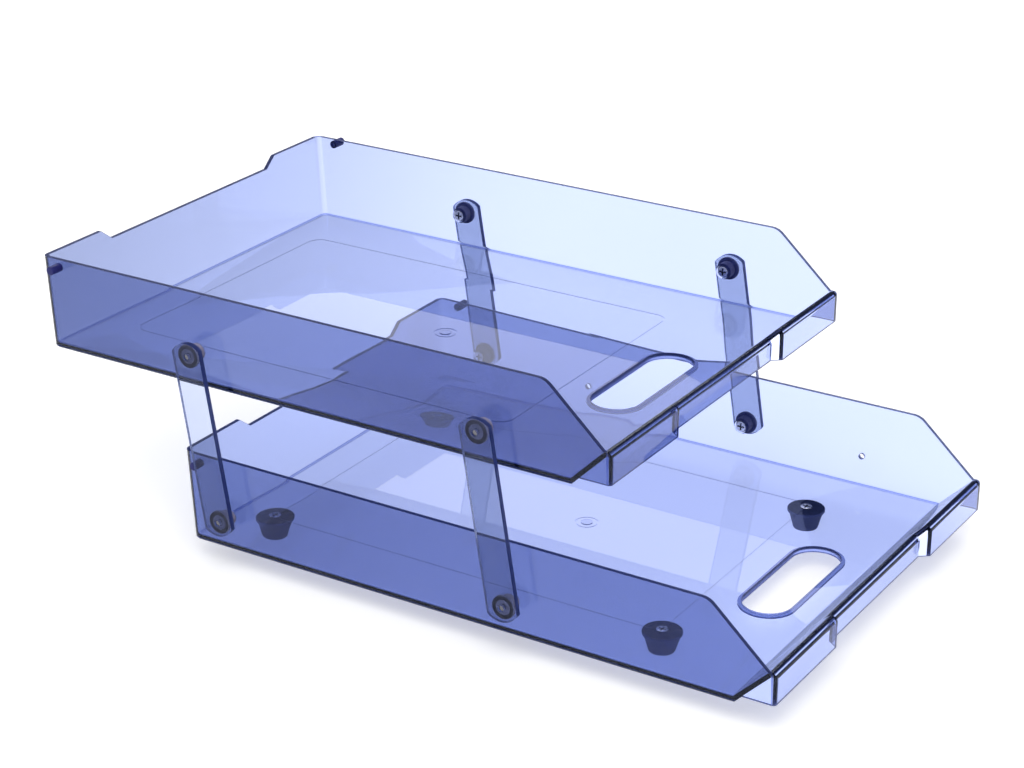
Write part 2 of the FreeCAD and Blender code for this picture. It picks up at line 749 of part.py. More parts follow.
levels = (("lower", lower_base, lower_pivots), ("upper", upper_base, upper_pivots))
for side, way in (("left", -1), ("right", 1)):
    for level, base, pivots in levels:
        place(make_stop_pin(f"{side}_{level}_stop_pin"), half_width * way, base[0] + pin_along,
              base[1] + size["pin_height"], angle=90.0 - 90.0 * way)
    for end, index in (("front", 0), ("rear", 1)):
        name = f"{side}_{end}"
        gap_face = half_width + size["link_gap"]
        link_face = gap_face if way > 0 else -(gap_face + size["link_thickness"])
        make_link(name + "_link", link_face, lower_pivots[index])
        for level, base, pivots in levels:
            for piece in (make_bush(f"{name}_{level}_bush"),
                          make_pivot_screw(f"{name}_{level}_screw")):
                place(piece, half_width * way, base[0] + pivots[index], base[1] + pivot_height,
                      angle=90.0 - 90.0 * way)

doc.recompute()


# ---------------------------------------------------------------- check and write

def check_document():
    for thing in doc.Objects:
        if "Invalid" in thing.State or "Error" in thing.State:
            raise RuntimeError(f"{thing.Name} ({thing.Label}) failed: {thing.State}")


def sub_parts():
    return [thing for thing in doc.Objects if thing.TypeId == "PartDesign::Body"]


check_document()
os.makedirs("parts", exist_ok=True)
for body in sub_parts():
    shape = body.Shape
    if shape.isNull() or not shape.isValid() or len(shape.Solids) != 1:
        raise RuntimeError(f"{body.Label}: not one valid solid")
for body in sub_parts():
    body.Shape.exportStep(os.path.join("parts", body.Label + ".step"))
    print(f"{body.Label:28s} {body.Shape.Volume / 1000:9.3f} cm3")
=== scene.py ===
import bmesh
import bpy
import json
import math
from mathutils import Matrix, Vector
from mathutils.bvhtree import BVHTree


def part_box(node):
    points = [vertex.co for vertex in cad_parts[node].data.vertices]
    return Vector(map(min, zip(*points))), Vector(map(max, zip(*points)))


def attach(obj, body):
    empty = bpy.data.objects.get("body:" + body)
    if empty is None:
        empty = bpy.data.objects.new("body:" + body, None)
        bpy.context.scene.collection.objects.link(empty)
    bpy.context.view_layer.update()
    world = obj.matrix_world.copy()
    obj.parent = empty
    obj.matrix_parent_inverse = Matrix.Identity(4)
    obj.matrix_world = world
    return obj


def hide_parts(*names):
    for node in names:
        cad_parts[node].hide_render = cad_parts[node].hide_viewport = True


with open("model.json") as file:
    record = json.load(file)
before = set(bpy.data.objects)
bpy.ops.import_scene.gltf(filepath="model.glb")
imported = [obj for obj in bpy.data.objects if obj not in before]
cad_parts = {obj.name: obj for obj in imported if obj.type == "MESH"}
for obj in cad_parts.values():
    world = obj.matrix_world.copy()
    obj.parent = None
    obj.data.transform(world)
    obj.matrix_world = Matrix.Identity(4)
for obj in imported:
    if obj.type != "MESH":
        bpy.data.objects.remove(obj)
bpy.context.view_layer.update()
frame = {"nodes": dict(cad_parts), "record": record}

MM = 0.001
SIDES = {"left": -1, "right": 1}
ENDS = ("front", "rear")
LEVELS = ("lower", "upper")
BODY_OF = {node: body for body, nodes in frame["record"]["behaviour"]["bodies"].items()
           for node in nodes}


# ---------------------------------------------------------------- nodes

BLACK = (0, 0, 0, 1)
WHITE = (1, 1, 1, 1)

# Places of a Mix node's first, second and result sockets; their names repeat for each kind.
MIX_SOCKETS = {"FLOAT": (2, 3, 0), "RGBA": (6, 7, 2)}


def feed(tree, socket, value):
    """Give a socket a plain value or another node's output."""
    if isinstance(value, bpy.types.NodeSocket):
        tree.links.new(value, socket)
    else:
        socket.default_value = value


def arithmetic(tree, operation, *values):
    """Result of a Math node; each value is a number or an output."""
    node = tree.nodes.new("ShaderNodeMath")
    node.operation = operation
    for socket, value in zip(node.inputs, values):
        feed(tree, socket, value)
    return node.outputs[0]


def blend(tree, kind, share, first, second):
    """Go from the first value to the second; the kind is FLOAT or RGBA."""
    first_place, second_place, result_place = MIX_SOCKETS[kind]
    node = tree.nodes.new("ShaderNodeMix")
    node.data_type = kind
    feed(tree, node.inputs["Factor"], share)
    feed(tree, node.inputs[first_place], first)
    feed(tree, node.inputs[second_place], second)
    return node.outputs[result_place]


def ramp(tree, value, low, high, to_low=0.0, to_high=1.0, smooth=False):
    """Stretch what lies between two limits to two results and hold it beyond them."""
    stretch = tree.nodes.new("ShaderNodeMapRange")
    if smooth:
        stretch.interpolation_type = "SMOOTHSTEP"
    for label, given in (("Value", value), ("From Min", low), ("From Max", high),
                         ("To Min", to_low), ("To Max", to_high)):
        feed(tree, stretch.inputs[label], given)
    return stretch.outputs["Result"]


def noise(tree, scale, detail=2.0, roughness=0.5):
    """Noise on Object coordinates."""
    where = tree.nodes.new("ShaderNodeTexCoord")
    cloud = tree.nodes.new("ShaderNodeTexNoise")
    tree.links.new(where.outputs["Object"], cloud.inputs["Vector"])
    feed(tree, cloud.inputs["Scale"], scale)
    cloud.inputs["Detail"].default_value = detail
    cloud.inputs["Roughness"].default_value = roughness
    return cloud.outputs["Fac"]


# ---------------------------------------------------------------- shader groups

def shader_group(name, inputs, outputs):
    """An empty shader group with its named sockets; inputs are (name, kind, value)."""
    group = bpy.data.node_groups.new(name, "ShaderNodeTree")
    for label, kind, value in inputs:
        socket = group.interface.new_socket(name=label, in_out="INPUT",
                                            socket_type="NodeSocket" + kind)
        socket.default_value = value
    for label, kind in outputs:
        group.interface.new_socket(name=label, in_out="OUTPUT",
                                   socket_type="NodeSocket" + kind)
    return group, group.nodes.new("NodeGroupInput"), group.nodes.new("NodeGroupOutput")


def moulded_ripple():
    """Slow waves and fine grain of a moulded or cut surface, as a height in metres."""
    group, given, result = shader_group(
        "moulded ripple", [("Wave Scale", "Float", 20.0), ("Wave Height", "Float", 1e-5),
                           ("Grain Scale", "Float", 900.0), ("Grain Height", "Float", 1e-6)],
        [("Height", "Float")])
    wave = ramp(group, noise(group, given.outputs["Wave Scale"], detail=1.0), low=0.0,
                high=1.0, to_high=given.outputs["Wave Height"])
    grain = ramp(group, noise(group, given.outputs["Grain Scale"], detail=2.0), low=0.0,
                 high=1.0, to_high=given.outputs["Grain Height"])
    group.links.new(arithmetic(group, "ADD", wave, grain), result.inputs["Height"])
    return group


def cut_edge():
    """Painted shade (a darker tint), painted glow and dullness of the narrow edges of a clear
    piece against its faces.
    """
    group, given, result = shader_group(
        "cut edge", [("Edge", "Float", 0.0), ("Face Colour", "Color", WHITE),
                     ("Flow Colour", "Color", WHITE), ("Edge Painted Shade", "Color", WHITE),
                     ("Face Roughness", "Float", 0.0), ("Edge Roughness", "Float", 0.3),
                     ("Edge Painted Glow", "Color", BLACK), ("Flow Scale", "Float", 6.0)],
        [("Color", "Color"), ("Roughness", "Float"), ("Emission", "Color")])
    edge = given.outputs["Edge"]
    flow = ramp(group, noise(group, given.outputs["Flow Scale"], detail=3.0), low=0.35,
                high=0.65)
    face = blend(group, "RGBA", flow, given.outputs["Face Colour"],
                 given.outputs["Flow Colour"])
    # Painted shade: the narrow edges take a darker blue tint that stands for the dark look of
    # edges seen through the plastic.
    colour = blend(group, "RGBA", edge, face, given.outputs["Edge Painted Shade"])
    dull = ramp(group, edge, low=0.0, high=1.0, to_low=given.outputs["Face Roughness"],
                to_high=given.outputs["Edge Roughness"])
    # Painted light: the narrow edges glow, though no lamp is there.
    glow = blend(group, "RGBA", edge, BLACK, given.outputs["Edge Painted Glow"])
    group.links.new(colour, result.inputs["Color"])
    group.links.new(dull, result.inputs["Roughness"])
    group.links.new(glow, result.inputs["Emission"])
    return group


def wear_and_hollow_shade():
    """Uneven sheen of a handled surface, with painted shade where the shape is hollow."""
    group, given, result = shader_group(
        "handling wear and painted hollow shade", [("Hollow", "Float", 0.0), ("Colour", "Color", (0.5, 0.5, 0.5, 1)),
                          ("Worn Colour", "Color", (0.6, 0.6, 0.6, 1)),
                          ("Hollow Shade Colour", "Color", (0.05, 0.05, 0.05, 1)),
                          ("Scale", "Float", 300.0), ("Low Roughness", "Float", 0.3),
                          ("High Roughness", "Float", 0.5)],
        [("Color", "Color"), ("Roughness", "Float")])
    cloud = noise(group, given.outputs["Scale"], detail=4.0, roughness=0.6)
    worn = ramp(group, cloud, low=0.4, high=0.62)
    colour = blend(group, "RGBA", worn, given.outputs["Colour"], given.outputs["Worn Colour"])
    # Painted shade: darker where other faces block much of what lies in front, in recesses and
    # between parts.
    shaded = ramp(group, given.outputs["Hollow"], low=0.25, high=0.6)
    colour = blend(group, "RGBA", shaded, colour, given.outputs["Hollow Shade Colour"])
    sheen = ramp(group, cloud, low=0.35, high=0.65, to_low=given.outputs["Low Roughness"],
                 to_high=given.outputs["High Roughness"])
    group.links.new(colour, result.inputs["Color"])
    group.links.new(sheen, result.inputs["Roughness"])
    return group


RIPPLE = moulded_ripple()
CUT_EDGE = cut_edge()
WEAR_AND_HOLLOW_SHADE = wear_and_hollow_shade()


# ---------------------------------------------------------------- materials

PLASTIC_IOR = 1.53
REFLECTION_TINT = (0.4, 0.45, 0.7, 1)


def new_material(name):
    material = bpy.data.materials.new(name)
    material.use_nodes = True
    material.node_tree.nodes.clear()
    return material, material.node_tree


def place_group(tree, group, values):
    node = tree.nodes.new("ShaderNodeGroup")
    node.node_tree = group
    for label, value in values.items():
        node.inputs[label].default_value = value
    return node


def read_attribute(tree, name):
    node = tree.nodes.new("ShaderNodeAttribute")
    node.attribute_name = name
    return node.outputs["Fac"]


def rippled_normal(tree, values):
    """Normal from the moulded ripple group, whose height is already in metres."""
    ripple = place_group(tree, RIPPLE, values)
    bump = tree.nodes.new("ShaderNodeBump")
    bump.inputs["Strength"].default_value = 1.0
    bump.inputs["Distance"].default_value = 1.0
    tree.links.new(ripple.outputs["Height"], bump.inputs["Height"])
    return bump.outputs["Normal"]


def clear_plastic(name, absorb, per_metre, shadow, finish, ripple):
    """Clear tinted plastic: refracting surface, colour from the depth that light crosses.

    Shadow rays go straight through and take the shadow colour at each surface.
    """
    material, tree = new_material(name)
    nodes, links = tree.nodes, tree.links
    out = nodes.new("ShaderNodeOutputMaterial")
    body = nodes.new("ShaderNodeBsdfPrincipled")
    body.inputs["IOR"].default_value = PLASTIC_IOR
    body.inputs["Specular Tint"].default_value = REFLECTION_TINT
    body.inputs["Transmission Weight"].default_value = 1.0
    body.inputs["Emission Strength"].default_value = 1.0
    edge = place_group(tree, CUT_EDGE, finish)
    links.new(read_attribute(tree, "edge"), edge.inputs["Edge"])
    links.new(edge.outputs["Color"], body.inputs["Base Color"])
    links.new(edge.outputs["Roughness"], body.inputs["Roughness"])
    # Painted light: the narrow edges glow with the painted edge glow.
    links.new(edge.outputs["Emission"], body.inputs["Emission Color"])
    links.new(rippled_normal(tree, ripple), body.inputs["Normal"])
    clear = nodes.new("ShaderNodeBsdfTransparent")
    clear.inputs["Color"].default_value = shadow
    path = nodes.new("ShaderNodeLightPath")
    mix = nodes.new("ShaderNodeMixShader")
    links.new(path.outputs["Is Shadow Ray"], mix.inputs["Fac"])
    links.new(body.outputs["BSDF"], mix.inputs[1])
    links.new(clear.outputs["BSDF"], mix.inputs[2])
    links.new(mix.outputs["Shader"], out.inputs["Surface"])
    depth = nodes.new("ShaderNodeVolumeAbsorption")
    depth.inputs["Color"].default_value = absorb
    depth.inputs["Density"].default_value = per_metre
    links.new(depth.outputs["Volume"], out.inputs["Volume"])
    return material


def opaque(name, wear, ripple, metallic=0.0, tint=WHITE):
    material, tree = new_material(name)
    out = tree.nodes.new("ShaderNodeOutputMaterial")
    body = tree.nodes.new("ShaderNodeBsdfPrincipled")
    body.inputs["Metallic"].default_value = metallic
    body.inputs["Specular Tint"].default_value = tint
    finish = place_group(tree, WEAR_AND_HOLLOW_SHADE, wear)
    # The hollow share drives the painted shade in recesses.
    tree.links.new(read_attribute(tree, "hollow"), finish.inputs["Hollow"])
    tree.links.new(finish.outputs["Color"], body.inputs["Base Color"])
    tree.links.new(finish.outputs["Roughness"], body.inputs["Roughness"])
    tree.links.new(rippled_normal(tree, ripple), body.inputs["Normal"])
    tree.links.new(body.outputs["BSDF"], out.inputs["Surface"])
    return material


SMOOTH_MOULD = {"Wave Scale": 16.0, "Wave Height": 4e-6, "Grain Scale": 700.0,
                "Grain Height": 2e-8}
FINE_MOULD = {"Wave Scale": 120.0, "Wave Height": 1e-5, "Grain Scale": 2500.0,
              "Grain Height": 4e-6}
MACHINED = {"Wave Scale": 300.0, "Wave Height": 4e-6, "Grain Scale": 4000.0,
            "Grain Height": 1e-6}
# Polished faces, with painted shade (a darker blue tint) and a painted glow on the narrow edges.
POLISHED_WITH_PAINTED_EDGES = {"Face Colour": WHITE, "Flow Colour": (0.985, 0.988, 1, 1),
            "Edge Painted Shade": (0.36, 0.43, 0.80, 1), "Face Roughness": 0.0,
            "Edge Roughness": 0.6, "Edge Painted Glow": (0.002, 0.006, 0.05, 1)}

TRAY = clear_plastic("tinted clear tray", absorb=(0.0, 0.125, 0.52, 1), per_metre=425.0,
                     shadow=(0.95, 0.96, 0.985, 1), finish=POLISHED_WITH_PAINTED_EDGES | {"Flow Scale": 7.0},
                     ripple=SMOOTH_MOULD)
LINK = clear_plastic("clear link", absorb=(0.22, 0.31, 0.52, 1), per_metre=300.0,
                     shadow=(0.96, 0.97, 0.99, 1), finish=POLISHED_WITH_PAINTED_EDGES | {"Flow Scale": 20.0},
                     ripple=SMOOTH_MOULD)
BUSH = opaque("grey bush", {
    "Colour": (0.27, 0.25, 0.37, 1), "Worn Colour": (0.32, 0.30, 0.42, 1),
    "Hollow Shade Colour": (0.03, 0.03, 0.06, 1), "Scale": 260.0,
    "Low Roughness": 0.45, "High Roughness": 0.6}, FINE_MOULD, tint=REFLECTION_TINT)
PIN = opaque("dark pin", {
    "Colour": (0.015, 0.015, 0.12, 1), "Worn Colour": (0.025, 0.025, 0.15, 1),
    "Hollow Shade Colour": (0.006, 0.006, 0.04, 1), "Scale": 260.0,
    "Low Roughness": 0.35, "High Roughness": 0.5}, FINE_MOULD, tint=REFLECTION_TINT)
SCREW = opaque("plated screw", {
    "Colour": (0.74, 0.74, 0.77, 1), "Worn Colour": (0.84, 0.84, 0.86, 1),
    "Hollow Shade Colour": (0.05, 0.05, 0.07, 1), "Scale": 700.0,
    "Low Roughness": 0.18, "High Roughness": 0.32}, MACHINED, metallic=1.0)
FOOT = opaque("dark foot", {
    "Colour": (0.33, 0.34, 0.42, 1), "Worn Colour": (0.38, 0.39, 0.48, 1),
    "Hollow Shade Colour": (0.10, 0.12, 0.20, 1), "Scale": 180.0,
    "Low Roughness": 0.4, "High Roughness": 0.55}, FINE_MOULD, tint=REFLECTION_TINT)


# ---------------------------------------------------------------- finishing a mesh

# Points closer than SAME_POINT are merged, rays start OFF_FACE away from their face, and
# edges that turn by more than these angles, in degrees, stay sharp.
SAME_POINT = 0.001 * MM
OFF_FACE = 0.01 * MM
SHARP_ON_MOULDING = 25
SHARP_ON_TURNING = 35

# A face counts as a narrow edge when the piece reaches further behind it than its wall is
# thick: not at all up to EDGE_FROM times the wall, fully from EDGE_FULL times.
EDGE_FROM = 1.15
EDGE_FULL = 1.6

HOLLOW_REACH = 2.0 * MM
HOLLOW_RAYS = 24
# Hollow share, and so painted shade, of faces far from their place.
FAR_END_SHADE = 0.55


def shade_by_angle(shape, degrees):
    """Shade curved surfaces smooth and keep the edges that turn by more than the angle."""
    sharp = math.radians(degrees)
    for face in shape.faces:
        face.smooth = True
    for line in shape.edges:
        line.smooth = len(line.link_faces) == 2 and line.calc_face_angle(math.pi) <= sharp


def face_values(mesh, name, values):
    attribute = mesh.attributes.new(name, "FLOAT", "FACE")
    attribute.data.foreach_set("value", values)


def depth_behind(shape):
    """For each face, how far its piece reaches straight behind it."""
    tree = BVHTree.FromBMesh(shape)
    depths = []
    for face in shape.faces:
        start = face.calc_center_median() - face.normal * OFF_FACE
        place, normal, index, depth = tree.ray_cast(start, -face.normal)
        depths.append(math.inf if place is None else depth)
    return depths


def hollow_share(shape):
    """For each face, the share of the directions in front of it that another face blocks."""
    tree = BVHTree.FromBMesh(shape)
    golden_angle = math.pi * (3 - math.sqrt(5))
    shares = []
    for face in shape.faces:
        start = face.calc_center_median() + face.normal * OFF_FACE
        turn = face.normal.to_track_quat("Z", "Y")
        blocked = 0
        for i in range(HOLLOW_RAYS):
            up = (i + 0.5) / HOLLOW_RAYS
            out = math.sqrt(1 - up * up)
            around = golden_angle * i
            ray = turn @ Vector((out * math.cos(around), out * math.sin(around), up))
            blocked += tree.ray_cast(start, ray, HOLLOW_REACH)[0] is not None
        shares.append(blocked / HOLLOW_RAYS)
    return shares


def finish_piece(name, mesh, material, body, nodes):
    """Make the mesh a piece that rides on a body and stands for CAD nodes."""
    mesh.materials.clear()
    mesh.materials.append(material)
    mesh.name = name
    piece = bpy.data.objects.new(name, mesh)
    bpy.context.scene.collection.objects.link(piece)
    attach(piece, body)
    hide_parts(*nodes)


def clear_piece(node, name, material, wall):
    """Merged copy of a CAD node that knows which of its faces are narrow edges."""
    mesh = frame["nodes"][node].data.copy()
    for spare in ("custom_normal", "sharp_face", "sharp_edge"):
        if spare in mesh.attributes:
            mesh.attributes.remove(mesh.attributes[spare])
    shape = bmesh.new()
    shape.from_mesh(mesh)
    bmesh.ops.remove_doubles(shape, verts=shape.verts, dist=SAME_POINT)
    bmesh.ops.recalc_face_normals(shape, faces=shape.faces)
    shape.normal_update()
    shade_by_angle(shape, SHARP_ON_MOULDING)
    low = wall * EDGE_FROM
    high = wall * EDGE_FULL
    edges = [min(max((depth - low) / (high - low), 0.0), 1.0) for depth in depth_behind(shape)]
    shape.to_mesh(mesh)
    shape.free()
    face_values(mesh, "edge", edges)
    finish_piece(name, mesh, material, BODY_OF[node], [node])


# ---------------------------------------------------------------- turned pieces and screws

# A section is swept along a circle of SWEEP_RADIUS and moved in by as much, so its corners
# give radii from the axis. Corners closer to the axis than ON_AXIS stay sharp.
SWEEP_RADIUS = 1.0 * MM
ON_AXIS = 0.01 * MM
SEAM = 0.002 * MM
ROUNDING_POINTS = 3


def geometry_tree(name, sizes):
    """A geometry tree with named sizes, each given as (name, kind, value)."""
    tree = bpy.data.node_groups.new(name, "GeometryNodeTree")
    tree.interface.new_socket(name="Geometry", in_out="INPUT", socket_type="NodeSocketGeometry")
    tree.interface.new_socket(name="Geometry", in_out="OUTPUT", socket_type="NodeSocketGeometry")
    for label, kind, value in sizes:
        socket = tree.interface.new_socket(name=label, in_out="INPUT",
                                           socket_type="NodeSocket" + kind)
        if value is not None:
            socket.default_value = value
    return tree, tree.nodes.new("NodeGroupInput"), tree.nodes.new("NodeGroupOutput")


CORNERS = 8
TURNED_SIZES = [(f"Corner {i + 1}", "Vector", (0, 0, 0)) for i in range(CORNERS)] + [
    ("Corners", "Int", CORNERS), ("Rounding", "Float", 0.2 * MM), ("Steps", "Int", 40)]


def turned_section():
    """Turn a section about the Z axis; a corner is (radius, depth), and edges are rounded."""
    tree, given, result = geometry_tree("turned section", TURNED_SIZES)
    nodes, links = tree.nodes, tree.links
    line = nodes.new("GeometryNodeMeshLine")
    links.new(given.outputs["Corners"], line.inputs["Count"])
    index = nodes.new("GeometryNodeInputIndex")
    choose = nodes.new("GeometryNodeIndexSwitch")
    choose.data_type = "VECTOR"
    while len(choose.index_switch_items) < CORNERS:
        choose.index_switch_items.new()
    links.new(index.outputs[0], choose.inputs[0])
    for i in range(CORNERS):
        links.new(given.outputs[f"Corner {i + 1}"], choose.inputs[i + 1])
    shift = nodes.new("ShaderNodeVectorMath")
    shift.operation = "SUBTRACT"
    shift.inputs[1].default_value = (SWEEP_RADIUS, 0, 0)
    links.new(choose.outputs[0], shift.inputs[0])
    move = nodes.new("GeometryNodeSetPosition")
    links.new(line.outputs[0], move.inputs["Geometry"])
    links.new(shift.outputs[0], move.inputs["Position"])
    curve = nodes.new("GeometryNodeMeshToCurve")
    links.new(move.outputs[0], curve.inputs[0])
    closed = nodes.new("GeometryNodeSetSplineCyclic")
    closed.inputs["Cyclic"].default_value = True
    links.new(curve.outputs[0], closed.inputs[0])
    where = nodes.new("GeometryNodeInputPosition")
    split = nodes.new("ShaderNodeSeparateXYZ")
    links.new(where.outputs[0], split.inputs[0])
    off_axis = arithmetic(tree, "GREATER_THAN", split.outputs["X"], ON_AXIS - SWEEP_RADIUS)
    soft = nodes.new("GeometryNodeFilletCurve")
    soft.mode = "POLY"
    soft.inputs["Count"].default_value = ROUNDING_POINTS
    soft.inputs["Limit Radius"].default_value = True
    links.new(closed.outputs[0], soft.inputs["Curve"])
    links.new(arithmetic(tree, "MULTIPLY", off_axis, given.outputs["Rounding"]),
              soft.inputs["Radius"])
    circle = nodes.new("GeometryNodeCurvePrimitiveCircle")
    circle.inputs["Radius"].default_value = SWEEP_RADIUS
    links.new(given.outputs["Steps"], circle.inputs["Resolution"])
    turn = nodes.new("GeometryNodeCurveToMesh")
    links.new(circle.outputs[0], turn.inputs["Curve"])
    links.new(soft.outputs[0], turn.inputs["Profile Curve"])
    merge = nodes.new("GeometryNodeMergeByDistance")
    merge.inputs["Distance"].default_value = SEAM
    links.new(turn.outputs[0], merge.inputs["Geometry"])
    links.new(merge.outputs[0], result.inputs["Geometry"])
    return tree


def repeat_at_places(tree, given, result, piece):
    """Copy a piece to every point, turned as the point's own attribute says."""
    nodes, links = tree.nodes, tree.links
    turn = nodes.new("GeometryNodeInputNamedAttribute")
    turn.data_type = "FLOAT_VECTOR"
    turn.inputs["Name"].default_value = "turn"
    copies = nodes.new("GeometryNodeInstanceOnPoints")
    links.new(given.outputs["Geometry"], copies.inputs["Points"])
    links.new(piece, copies.inputs["Instance"])
    links.new(turn.outputs["Attribute"], copies.inputs["Rotation"])
    real = nodes.new("GeometryNodeRealizeInstances")
    links.new(copies.outputs[0], real.inputs[0])
    coat = nodes.new("GeometryNodeSetMaterial")
    links.new(real.outputs[0], coat.inputs["Geometry"])
    links.new(given.outputs["Material"], coat.inputs["Material"])
    links.new(coat.outputs[0], result.inputs["Geometry"])


def turned_pieces():
    """Tree for bushes, pins and feet."""
    tree, given, result = geometry_tree("turned pieces",
                                        TURNED_SIZES + [("Material", "Material", None)])
    section = tree.nodes.new("GeometryNodeGroup")
    section.node_tree = TURNED_SECTION
    for label, kind, value in TURNED_SIZES:
        tree.links.new(given.outputs[label], section.inputs[label])
    repeat_at_places(tree, given, result, section.outputs[0])
    return tree


def cross_head_screws():
    """Tree for countersunk screws with a cross recess; the head's face is at depth 0."""
    tree, given, result = geometry_tree("cross head screws", [
        ("Head Radius", "Float", 3.4 * MM), ("Shank Radius", "Float", 1.6 * MM),
        ("Length", "Float", 10 * MM), ("Recess Arm", "Float", 4.4 * MM),
        ("Recess Slit", "Float", 1.0 * MM), ("Recess Depth", "Float", 0.9 * MM),
        ("Rounding", "Float", 0.15 * MM), ("Material", "Material", None)])
    nodes, links = tree.nodes, tree.links
    head = given.outputs["Head Radius"]
    shank = given.outputs["Shank Radius"]
    length = given.outputs["Length"]
    cone_depth = arithmetic(tree, "SUBTRACT", head, shank)
    corners = ((0.0, 0.0), (head, 0.0), (shank, cone_depth), (shank, length), (0.0, length))
    section = nodes.new("GeometryNodeGroup")
    section.node_tree = TURNED_SECTION
    section.inputs["Corners"].default_value = len(corners)
    links.new(given.outputs["Rounding"], section.inputs["Rounding"])
    for i, (radius, depth) in enumerate(corners):
        corner = nodes.new("ShaderNodeCombineXYZ")
        feed(tree, corner.inputs["X"], radius)
        feed(tree, corner.inputs["Y"], depth)
        links.new(corner.outputs[0], section.inputs[f"Corner {i + 1}"])
    cut = nodes.new("GeometryNodeMeshBoolean")
    cut.operation = "DIFFERENCE"
    cut.solver = "EXACT"
    links.new(section.outputs[0], cut.inputs["Mesh 1"])
    # Half of each block stands above the head's face.
    block_height = arithmetic(tree, "MULTIPLY", given.outputs["Recess Depth"], 2.0)
    for first, second in (("Recess Arm", "Recess Slit"), ("Recess Slit", "Recess Arm")):
        size = nodes.new("ShaderNodeCombineXYZ")
        links.new(given.outputs[first], size.inputs["X"])
        links.new(given.outputs[second], size.inputs["Y"])
        links.new(block_height, size.inputs["Z"])
        block = nodes.new("GeometryNodeMeshCube")
        links.new(size.outputs[0], block.inputs["Size"])
        links.new(block.outputs[0], cut.inputs["Mesh 2"])
    repeat_at_places(tree, given, result, cut.outputs["Mesh"])
    return tree


TURNED_SECTION = turned_section()
TURNED_PIECES = turned_pieces()
CROSS_HEAD_SCREWS = cross_head_screws()

# How a piece is turned so that its own upward axis points left, right or up.
POINTING = {"left": (0, -math.pi / 2, 0), "right": (0, math.pi / 2, 0), "up": (0, 0, 0)}


def shade_far_end(shape, hollow, places, beyond):
    """Paint shade on the faces that lie further than a length from every place, by counting them
    as hollow.
    """
    for face in shape.faces:
        centre = face.calc_center_median()
        if min((centre - Vector(place)).length for place, way in places) > beyond:
            hollow[face.index] = max(hollow[face.index], FAR_END_SHADE)


def grow(name, tree, sizes, places, material, nodes, shade_beyond=None):
    """Run a tree at the given (place, way) points and keep the result as one piece."""
    points = bpy.data.meshes.new(name + "_places")
    points.from_pydata([place for place, way in places], [], [])
    turns = points.attributes.new("turn", "FLOAT_VECTOR", "POINT")
    for i, (place, way) in enumerate(places):
        turns.data[i].vector = POINTING[way]
    seed = bpy.data.objects.new(name + "_seed", points)
    bpy.context.scene.collection.objects.link(seed)
    modifier = seed.modifiers.new("repeat", "NODES")
    modifier.node_group = tree
    sockets = {item.name: item.identifier for item in tree.interface.items_tree
               if item.in_out == "INPUT"}
    for label, value in (sizes | {"Material": material}).items():
        modifier[sockets[label]] = value
    depsgraph = bpy.context.evaluated_depsgraph_get()
    mesh = bpy.data.meshes.new_from_object(seed.evaluated_get(depsgraph))
    seed.modifiers.remove(modifier)
    bpy.data.objects.remove(seed)
    shape = bmesh.new()
    shape.from_mesh(mesh)
    bmesh.ops.remove_doubles(shape, verts=shape.verts, dist=SAME_POINT)
    bare = [line for line in shape.edges if not line.link_faces]
    bmesh.ops.delete(shape, geom=bare, context="EDGES")
    bmesh.ops.recalc_face_normals(shape, faces=shape.faces)
    shape.normal_update()
    shade_by_angle(shape, SHARP_ON_TURNING)
    hollow = hollow_share(shape)
    if shade_beyond is not None:
        shade_far_end(shape, hollow, places, shade_beyond)
    shape.to_mesh(mesh)
    shape.free()
    face_values(mesh, "hollow", hollow)
    finish_piece(name, mesh, material, BODY_OF[nodes[0]], nodes)


def section_sizes(corners, rounding):
    """Sizes of a turned section, from corners in millimetres out from the axis and up."""
    sizes = {"Corners": len(corners), "Rounding": rounding * MM}
    for i, (radius, height) in enumerate(corners):
        sizes[f"Corner {i + 1}"] = (radius * MM, -height * MM, 0.0)
    return sizes


def middle(node):
    low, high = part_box(node)
    return (Vector(low) + Vector(high)) / 2


def wall_place(node, side):
    """Point where a piece's axis meets the outer face of the tray's wall."""
    low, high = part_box("lower_tray")
    centre = middle(node)
    return ((high if side == "right" else low)[0], centre.y, centre.z)


# ---------------------------------------------------------------- sizes in millimetres

# Radii are from a piece's own axis. Bushes, pins and pivot screws are measured outwards from
# the outer face of the tray's wall, and feet downwards from the underside of its floor.
# SCREW_SETBACK is from a pivot screw's tip to the link's outer face, and PIVOT_HEAD_SINK
# from the wall's inner face to the top of the head.
TRAY_WALL = 2.5
LINK_THICKNESS = 3.2
LINK_GAP = 7.1
COLLAR_DROP = 1.2

SHANK_RADIUS = 1.6
SCREW_CLEARANCE = 0.05
SCREW_HOLE = SHANK_RADIUS + SCREW_CLEARANCE
SCREW_SETBACK = 0.5
PIVOT_SCREW_TIP = LINK_GAP + LINK_THICKNESS - SCREW_SETBACK
PIVOT_HEAD_RADIUS = 3.4
PIVOT_HEAD_SINK = 0.5
PIVOT_HEAD_FACE = PIVOT_HEAD_SINK - TRAY_WALL
# Painted shade on the part of a pivot screw further than this from its head.
PIVOT_SHADE_BEYOND = PIVOT_HEAD_RADIUS * 2
FOOT_HEAD_RADIUS = 3.5
FOOT_SCREW_LENGTH = 10.0
PIVOT_SCREW = {"Head Radius": PIVOT_HEAD_RADIUS * MM, "Shank Radius": SHANK_RADIUS * MM,
               "Length": (PIVOT_SCREW_TIP - PIVOT_HEAD_FACE) * MM, "Recess Arm": 4.4 * MM,
               "Recess Slit": 1.0 * MM, "Recess Depth": 0.9 * MM, "Rounding": 0.15 * MM}
FOOT_SCREW = PIVOT_SCREW | {"Head Radius": FOOT_HEAD_RADIUS * MM,
                            "Length": FOOT_SCREW_LENGTH * MM}

